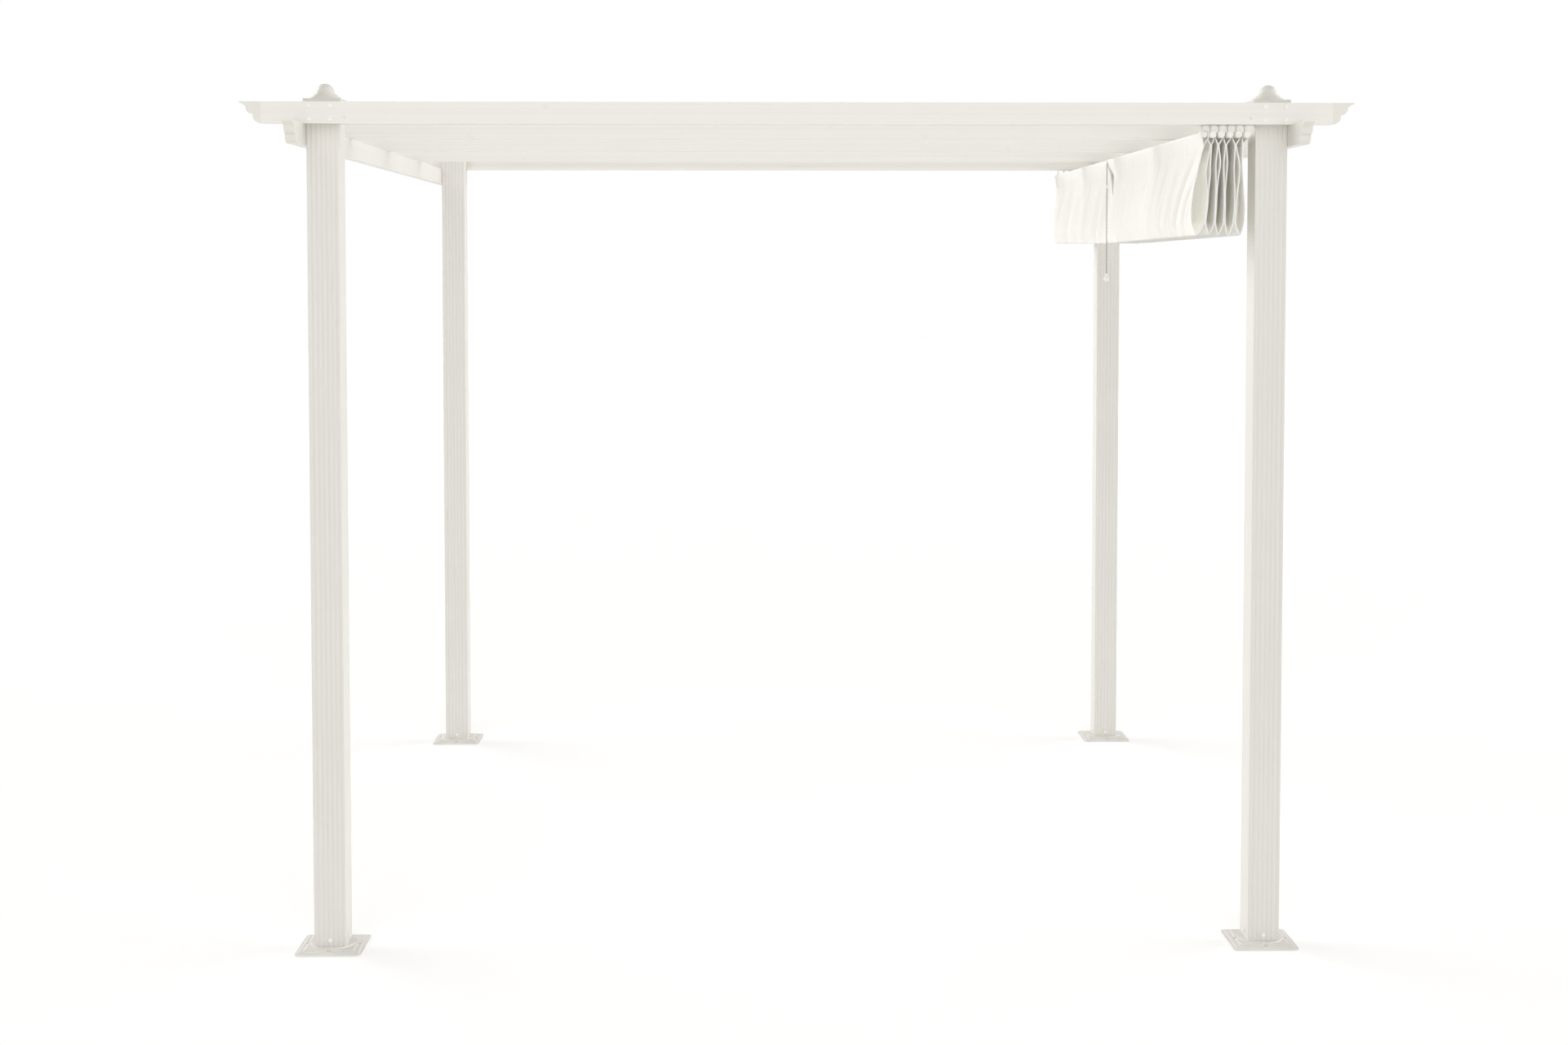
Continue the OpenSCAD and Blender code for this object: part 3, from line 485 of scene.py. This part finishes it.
def cord_hollow(j, y, drop):
    """How far the leading cloth hangs back beside the cord. The front width's edge also curls in,
    below the pocket."""
    if j > 0:
        return 0.0
    # the hollow reaches 160 mm to each side, and is full from 0.11 m down
    broad = math.exp(-((y - SEAM_Y) / 0.16) ** 2) * min(1.0, max(0.0, (drop - 0.01) / 0.10))
    curl = 0.0
    # the curl reaches 24 mm in from the edge, and 40 mm up and down from its middle
    if y < SEAM_Y:
        curl = math.exp(-((SEAM_Y - y) / 0.024) ** 2) * math.exp(-((drop - CURL_DROP) / 0.040) ** 2)
    return HOLLOW * broad + CURL * curl


def gathers(y, drop, stitch):
    """Small puckers that fan out above and below the row of stitches: broad ones of 3 mm, and fine
    ones every 19 mm."""
    # they die out over 50 mm below the stitches and 30 mm above them
    off = drop - stitch
    fade = math.exp(-off / 0.050) if off > 0 else math.exp(off / 0.030)
    broad = noise.noise(Vector((y * 22.0, 3.0 * drop, 5.1)))
    fine = math.sin(2 * math.pi * y / 0.0190 + 2.6 * noise.noise(Vector((y * 9.0, 9.1, 0))))
    return fade * (0.0030 * broad + 0.0008 * fine)


def leg_point(j, side, y, drop):
    """Where leg j hangs at a depth: side is -1 for the leg that leaves rod j on the left."""
    f = near_front(y)
    mid = f * eased(front_line[j], drop) + (1 - f) * eased(inner_line[j], drop)
    space = f * eased(front_space[j], drop) + (1 - f) * eased(inner_space, drop)
    if j in (0, ROD_COUNT - 1):
        space = 0
    return mid + side * space + soft_folds(j, y, drop) + cord_hollow(j, y, drop)


def mouth(j, y):
    """How far the leading pocket's front end is drawn out over the rod's knob, as a share."""
    return min(1.0, max(0.0, (MOUTH_LENGTH - EDGE_Y - y) / MOUTH_LENGTH)) if j == 0 else 0.0


def leg_row(j, side, width, y, loop, rows):
    """One row of points down a leg, from the pocket's top or its inner stitch line to the crease."""
    opened = mouth(j, y)
    stitch = LEAD_STITCH_DROP - MOUTH_LIFT * opened if j == 0 else STITCH_DROP
    # the hem widens the pocket over 16 mm, and the front end flares over 35 mm
    edge = edge_distance(width, y)
    at_hem = math.exp(-max(edge, 0) / 0.016)
    flare = math.exp(-(y + EDGE_Y) / 0.035)
    pucker = gathers(y, ROUND_ROD, stitch)
    r = SLEEVE_R + HEM_SWELL * at_hem + 0.6 * abs(pucker)
    # the mouth is wide open from a tenth of its length on
    if opened > 0:
        r += (MOUTH_R - r) * min(1.0, opened / 0.1)
    reach = r + (FRONT_FLARE * flare if side < 0 and not loop else 0)
    x_stitch = leg_point(j, side, y, stitch) + gathers(y, stitch, stitch) * (1 - opened)
    over = -side if loop else side
    points = []
    # an outer leg also goes up the far side of its rod, to 4 mm below the rod's middle, and then
    # every leg goes over the rod and down; the arcs' angles are in degrees
    if loop:
        inner = x_stitch - over * STITCH_SPACE
        for t in np.linspace(0, 1, SIDE_ROWS)[:-1]:
            down = stitch + (0.004 - stitch) * t
            blend = t * t * (3 - 2 * t)
            points.append((inner + (-over * r - inner) * blend, -down))
        for a in np.linspace(-20, 90, ARC_ROWS)[:-1]:
            points.append((-over * r * math.cos(math.radians(a)), r * math.sin(math.radians(a))))
    for a in np.linspace(90, -15, ARC_ROWS):
        points.append((over * reach * math.cos(math.radians(a)), r * math.sin(math.radians(a))))
    top = points[-1]
    for t in np.linspace(0, 1, SIDE_ROWS)[1:]:
        blend = t * t * (3 - 2 * t)
        bow = over * POCKET_BOW * math.sin(math.pi * t) ** 0.7 * (1 - opened)
        points.append((top[0] + (x_stitch - top[0]) * (0.5 * t + 0.5 * blend) + bow,
                       top[1] + (-stitch - top[1]) * t))
    # from the stitches down to the crease, which lies midway between the two rods
    foot_drop = crease_drop(width, y)
    f = near_front(y)
    bay = j if side > 0 else j - 1
    lean = (f * front_foot[bay] + (1 - f) * inner_foot[bay]) / 1000
    midway = rods_x[bay] + (rods_x[1] - rods_x[0]) / 2
    foot_x = midway + lean + 0.6 * soft_folds(bay, y, foot_drop) - rods_x[j]
    turn = foot_drop - TIP_H
    for t in np.linspace(0, 1, rows)[1:]:
        drop = stitch + (turn - stitch) * t
        points.append((leg_point(j, side, y, drop) + gathers(y, drop, stitch) * (1 - t), -drop))
    # the legs close faster and faster towards the crease, which is blunt
    last = points[-1][0]
    for t in np.linspace(0, 1, TIP_ROWS)[1:]:
        inward = t * (0.75 + 0.25 * t)
        points.append((last + (foot_x - last) * inward, -turn - (foot_drop - turn) * (1 - (1 - t) ** 1.15)))
    return points


def woven_polyester():
    """Woven polyester canopy cloth: plain weave, matt with a soft sheen, a little light coming
    through, and thread lines that follow the cloth."""
    m = bpy.data.materials.new("woven_polyester_canopy")
    m.use_nodes = True
    m.node_tree.nodes.clear()
    cut = add_node(m, "ShaderNodeUVMap", {"uv_map": "cut"})
    place = add_node(m, "ShaderNodeTexCoord")
    # threads every 5 mm, coarser than the real 0.4 mm so that the weave shows
    weft = add_node(m, "ShaderNodeTexWave", {"wave_type": "BANDS", "bands_direction": "X", "Scale": 64.0,
                                             "Distortion": 0.4, "Detail": 1.0}, {"Vector": (cut, 0)})
    warp = add_node(m, "ShaderNodeTexWave", {"wave_type": "BANDS", "bands_direction": "Y", "Scale": 64.0,
                                             "Distortion": 0.4, "Detail": 1.0}, {"Vector": (cut, 0)})
    weave = add_node(m, "ShaderNodeMath", {"operation": "MULTIPLY"}, {0: (weft, "Fac"), 1: (warp, "Fac")})
    # slubs: thicker threads, 12 mm apart and 80 mm long
    slub_place = add_node(m, "ShaderNodeMapping", {"Scale": (12.0, 80.0, 1.0)}, {"Vector": (cut, 0)})
    slub = add_node(m, "ShaderNodeTexNoise", {"Scale": 1.0, "Detail": 3.0}, {"Vector": (slub_place, 0)})
    # cloudy shade about 0.17 m across
    tone = add_node(m, "ShaderNodeTexNoise", {"Scale": 6.0, "Detail": 2.0}, {"Vector": (place, "Object")})
    shade = add_node(m, "ShaderNodeMix", {"data_type": "RGBA", 6: linear("#FCFBF9"), 7: linear("#FEFEFC")},
                     {0: (tone, 0)})
    thread = add_node(m, "ShaderNodeMapRange", {1: 0.0, 2: 1.0, 3: 0.975, 4: 1.0}, {0: (weave, 0)})
    tinted = add_node(m, "ShaderNodeMix", {"data_type": "RGBA", "blend_type": "MULTIPLY", 0: 1.0},
                      {6: (shade, 2), 7: (thread, 0)})
    relief = add_node(m, "ShaderNodeMath", {"operation": "MULTIPLY_ADD", 1: 0.7},
                      {0: (slub, 0), 2: (weave, 0)})
    bump = add_node(m, "ShaderNodeBump", {"Strength": 0.35, "Distance": 0.0004}, {"Height": (relief, 0)})
    skin = add_node(m, "ShaderNodeBsdfPrincipled",
                    {"Roughness": 0.86, "IOR": 1.45, "Sheen Weight": 0.15, "Sheen Roughness": 0.5},
                    {"Base Color": (tinted, 2), "Normal": (bump, 0)})
    through = add_node(m, "ShaderNodeBsdfTranslucent", None, {"Color": (tinted, 2)})
    # a rolled hem is several layers thick and lets little light through
    across = add_node(m, "ShaderNodeSeparateXYZ", None, {0: (cut, 0)})
    from_middle = add_node(m, "ShaderNodeMath", {"operation": "ABSOLUTE"}, {0: (across, 0)})
    end_hem = add_node(m, "ShaderNodeMath", {"operation": "COMPARE", 1: EDGE_Y, 2: HEM_W},
                       {0: (from_middle, 0)})
    joint_hem = add_node(m, "ShaderNodeMath", {"operation": "COMPARE", 1: SEAM_Y, 2: SEAM_GAP / 2 + HEM_W},
                         {0: (across, 0)})
    hemmed = add_node(m, "ShaderNodeMath", {"operation": "MAXIMUM"}, {0: (end_hem, 0), 1: (joint_hem, 0)})
    passed = add_node(m, "ShaderNodeMapRange", {1: 0.0, 2: 1.0, 3: 0.52, 4: 0.10}, {0: (hemmed, 0)})
    cloth = add_node(m, "ShaderNodeMixShader", None, {0: (passed, 0), 1: (skin, 0), 2: (through, 0)})
    add_node(m, "ShaderNodeOutputMaterial", None, {"Surface": (cloth, 0)})
    return m


canopy_cloth = woven_polyester()


def hang_leg(name, bay, j, side, width, rows, step):
    """Makes one leg of a fold as a grid of points, gives it its thickness and hems, and hangs it."""
    y0, y1 = widths[width][:2]
    loop = j in (0, ROD_COUNT - 1)
    count = round((y1 - y0) / step)
    # the points stand closer together across a hem, and on the notches' edges
    hem_stops = (0.0, 0.0016, 0.004, 0.006, 0.0075, 0.0085, 0.0095, HEM_W, HEM_W + 0.002)
    ys = sorted({round(y0 + h, 5) for h in hem_stops} | {round(y1 - h, 5) for h in hem_stops}
                | {round(float(y), 5) for y in np.linspace(y0 + HEM_W + 0.006, y1 - HEM_W - 0.006, count)}
                | {round(s * RING_Y + e * NOTCH_HALF, 5) for s in (-1, 1) for e in (-1, 1)
                   if y0 < s * RING_Y < y1})
    grid = [leg_row(j, side, width, y, loop, rows) for y in ys]
    mesh = bpy.data.meshes.new(name)
    shape = bmesh.new()
    cut = shape.loops.layers.uv.new("cut")
    verts = []
    lengths = []
    for y, row in zip(ys, grid):
        drawn = mouth(j, y)
        out = MOUTH_REACH * drawn * drawn * (3 - 2 * drawn)
        # the mouth is drawn out from the rod's height, and less so down to its stitches
        drawn_y = [y - out * max(0.0, min(1.0, 1.3 + z / 0.040)) for x, z in row]
        verts.append([shape.verts.new((rods_x[j] + x, new_y, rod_z + z))
                      for new_y, (x, z) in zip(drawn_y, row)])
        run = [0.0]
        for a, b in zip(row, row[1:]):
            run.append(run[-1] + math.dist(a, b))
        lengths.append(run)
    for a in range(len(ys) - 1):
        middle = (ys[a] + ys[a + 1]) / 2
        for b in range(len(grid[0]) - 1):
            high = max(grid[a][b][1], grid[a][b + 1][1])
            low = min(grid[a][b][1], grid[a][b + 1][1])
            if abs(abs(middle) - RING_Y) < NOTCH_HALF and (high + low) / 2 > -NOTCH_DROP:
                continue
            corners_ab = [(a, b), (a + 1, b), (a + 1, b + 1), (a, b + 1)]
            if side < 0:
                corners_ab.reverse()
            face = shape.faces.new([verts[p][q] for p, q in corners_ab])
            face.smooth = True
            for loop_corner, (p, q) in zip(face.loops, corners_ab):
                loop_corner[cut].uv = (ys[p], lengths[p][q])
    bmesh.ops.delete(shape, geom=[v for v in shape.verts if not v.link_faces], context="VERTS")
    shape.to_mesh(mesh)
    shape.free()
    leg = bpy.data.objects.new(name, mesh)
    bpy.context.collection.objects.link(leg)
    mesh.materials.append(canopy_cloth)
    hem = leg.vertex_groups.new(name="hem")
    for v in mesh.vertices:
        edge = max(edge_distance(width, v.co.y), 0.0)
        full = 1.0 if HEM_ROLL < edge < HEM_W else (THIN_HEM if edge <= HEM_ROLL else 0.0)
        pocket = THIN_HEM if v.co.z > rod_z - ROUND_ROD else 1.0
        # the hem thins out over the last 12 mm above the crease
        near_foot = max(0.0, min(1.0, (v.co.z - rod_z + crease_drop(width, v.co.y)) / 0.012))
        hem.add([v.index], full * pocket * near_foot, "REPLACE")
    thick = leg.modifiers.new("thickness", "SOLIDIFY")
    thick.thickness = HEM_T
    thick.offset = 0.0
    thick.vertex_group = "hem"
    thick.thickness_vertex_group = CLOTH_T / HEM_T
    for other in bpy.context.selected_objects:
        other.select_set(False)
    bpy.context.view_layer.objects.active = leg
    leg.select_set(True)
    bpy.ops.object.modifier_apply(modifier="thickness")
    leg.select_set(False)
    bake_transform(leg)
    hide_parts(f"cloth_bay_{bay + 1}")


# the two outer legs are seen whole, so they have more rows, closer together
OUTER_LEG = (48, 0.0042)
INNER_LEG = (30, 0.0055)
for bay in range(ROD_COUNT - 1):
    for width in widths:
        for j, side, part in ((bay, 1, "left"), (bay + 1, -1, "right")):
            rows, step = OUTER_LEG if j in (0, ROD_COUNT - 1) else INNER_LEG
            hang_leg(f"canopy_fold_{bay + 1}_{width}_{part}", bay, j, side, width, rows, step)
